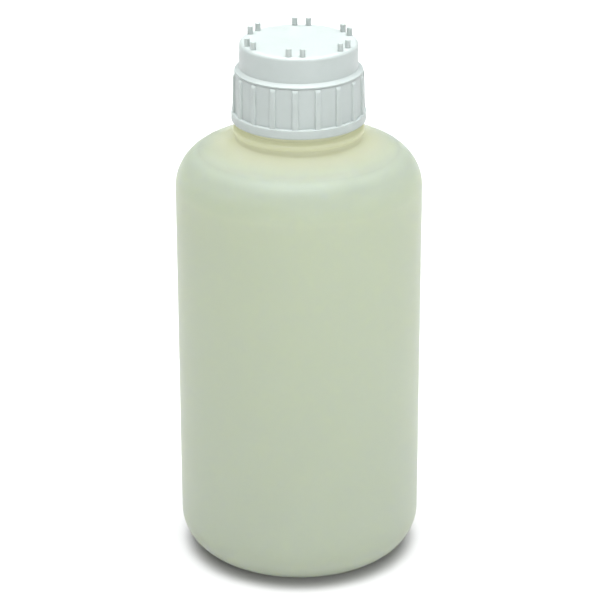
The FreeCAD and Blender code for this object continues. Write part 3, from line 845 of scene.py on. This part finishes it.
class REAGENT_OT_cut_gasket(bpy.types.Operator):
    """Makes the flat sealing ring between the lip and the crown"""
    bl_idname = "reagent.cut_gasket"
    bl_label = "Cut the Gasket"

    def execute(self, context):
        bottle = settings(context, "bottle")
        cap = settings(context, "cap")
        outer = GASKET_HIGH.x
        inner = BORE_RADIUS - cap.retainer_gap + (BORE_RADIUS + bottle.lip_wall + cap.lip_gap - outer)
        rounding = cap.gasket_rounding
        corners = [(inner, GASKET_LOW.z, rounding), (outer, GASKET_LOW.z, rounding),
                   (outer, GASKET_HIGH.z, rounding), (inner, GASKET_HIGH.z, rounding)]
        points = rounded_outline(corners, math.radians(15.0))
        outline = split_long(points + points[:1], 1.0 * MM)
        ring = turned("sealing_ring", outline, 160)
        weld_ring(ring)
        finish_piece(ring, "seal_body", "gasket", seal_rubber(settings(context, "plastics")))
        return {"FINISHED"}


# Stage

def lay_floor(stage):
    """A round pale floor at the height of the base."""
    rings = [stage.floor_radius * (step / 10) ** 2 for step in range(11)]
    outline = [Vector((ring, 0.0)) for ring in rings]
    floor = turned("floor", outline, 64)
    for face in floor.data.polygons:
        if face.normal.z < 0:
            floor.data.flip_normals()
            break
    floor.data.materials.append(floor_white(stage))


def hang_dome(stage):
    """World light that is bright overhead and falls off towards the horizon."""
    world = bpy.data.worlds.new("light_dome")
    bpy.context.scene.world = world
    world.use_nodes = True
    tree = world.node_tree
    place = tree.nodes.new("ShaderNodeTexCoord")
    parts = tree.nodes.new("ShaderNodeSeparateXYZ")
    tree.links.new(place.outputs["Generated"], parts.inputs["Vector"])
    upwards = spread(tree, parts.outputs["Z"], 0.0, 1.0, 0.0, 1.0)
    focused = tree.nodes.new("ShaderNodeMath")
    focused.operation = "POWER"
    focused.inputs[1].default_value = stage.dome_focus
    tree.links.new(upwards, focused.inputs[0])
    strength = spread(tree, focused.outputs["Value"], stage.dome_side, stage.dome_top, 0.0, 1.0)
    tree.links.new(strength, tree.nodes["Background"].inputs["Strength"])
    tree.nodes["Background"].inputs["Color"].default_value = (*stage.dome_tint, 1.0)


def softbox(name, place, target, size, power, colour=(1.0, 1.0, 1.0)):
    """A rectangular light that faces a target."""
    light = bpy.data.lights.new(name, "AREA")
    light.shape = "RECTANGLE"
    light.size, light.size_y = size
    light.energy = power
    light.color = colour
    holder = bpy.data.objects.new(name, light)
    holder.location = place
    holder.rotation_euler = (Vector(target) - Vector(place)).to_track_quat("-Z", "Y").to_euler()
    bpy.context.scene.collection.objects.link(holder)


def place_camera(stage):
    """The camera in front of the bottle, looking down on it."""
    camera = bpy.data.cameras.new("camera")
    camera.lens = stage.camera_lens
    camera.clip_end = 50.0
    holder = bpy.data.objects.new("camera", camera)
    turn = Matrix.Rotation(-stage.camera_yaw, 3, "Z")
    forward = turn @ Vector((0.0, math.cos(stage.camera_pitch), -math.sin(stage.camera_pitch)))
    right = turn @ Vector((1.0, 0.0, 0.0))
    up = right.cross(forward)
    level = Matrix((right, up, -forward)).transposed()
    tilt = Matrix.Rotation(stage.camera_roll, 3, "Z")
    place = Matrix.Translation((0.0, -stage.camera_distance, stage.camera_height))
    holder.matrix_world = place @ (level @ tilt).to_4x4()
    bpy.context.scene.collection.objects.link(holder)
    bpy.context.scene.camera = holder


class REAGENT_OT_set_stage(bpy.types.Operator):
    """Lays the floor, sets the lights and places the camera"""
    bl_idname = "reagent.set_stage"
    bl_label = "Set the Stage"

    def execute(self, context):
        stage = settings(context, "studio")
        lay_floor(stage)
        hang_dome(stage)
        softbox("key_strip", KEY_PLACE, KEY_TARGET, KEY_SIZE, stage.key_power, KEY_TINT)
        for name, side in (("fill_right", 1), ("fill_left", -1)):
            place = (side * FILL_PLACE[0], *FILL_PLACE[1:])
            softbox(name, place, FILL_TARGET, FILL_SIZE, (1 + side * stage.fill_lean) * stage.fill_power)
        place_camera(stage)
        view = context.scene.view_settings
        view.view_transform = "Standard"
        view.look = "None"
        view.exposure = 0.0
        view.gamma = 1.0
        return {"FINISHED"}


class REAGENT_PT_panel(bpy.types.Panel):
    """Lists the makers of the pieces and their sizes"""
    bl_label = "Reagent Bottle"
    bl_idname = "REAGENT_PT_panel"
    bl_space_type = "VIEW_3D"
    bl_region_type = "UI"
    bl_category = "Reagent Bottle"

    def draw(self, context):
        for step in STEPS:
            self.layout.operator(step.bl_idname)
        for name, group in GROUPS.items():
            box = self.layout.box()
            box.label(text=name.capitalize())
            for prop in group.__annotations__:
                box.prop(settings(context, name), prop)


GROUPS = {"bottle": BottleSizes, "thread": ThreadSizes, "cap": CapSizes, "plastics": Plastics,
          "studio": StudioSizes}
STEPS = (REAGENT_OT_blow_bottle, REAGENT_OT_pinch_weld, REAGENT_OT_mould_cap, REAGENT_OT_cut_gasket,
         REAGENT_OT_set_stage)
CLASSES = (*GROUPS.values(), *STEPS, REAGENT_PT_panel)


def register():
    """Adds the classes and hangs their settings on the scene."""
    for entry in CLASSES:
        bpy.utils.register_class(entry)
    for name, group in GROUPS.items():
        setattr(bpy.types.Scene, f"reagent_{name}", PointerProperty(type=group))


def unregister():
    """Takes the settings and the classes away again."""
    for name in GROUPS:
        delattr(bpy.types.Scene, f"reagent_{name}")
    for entry in reversed(CLASSES):
        bpy.utils.unregister_class(entry)


def main():
    """Makes every piece and the stage."""
    register()
    bpy.ops.reagent.blow_bottle()
    bpy.ops.reagent.pinch_weld()
    bpy.ops.reagent.mould_cap()
    bpy.ops.reagent.cut_gasket()
    bpy.ops.reagent.set_stage()
    bpy.context.view_layer.update()


if __name__ == "__main__":
    main()
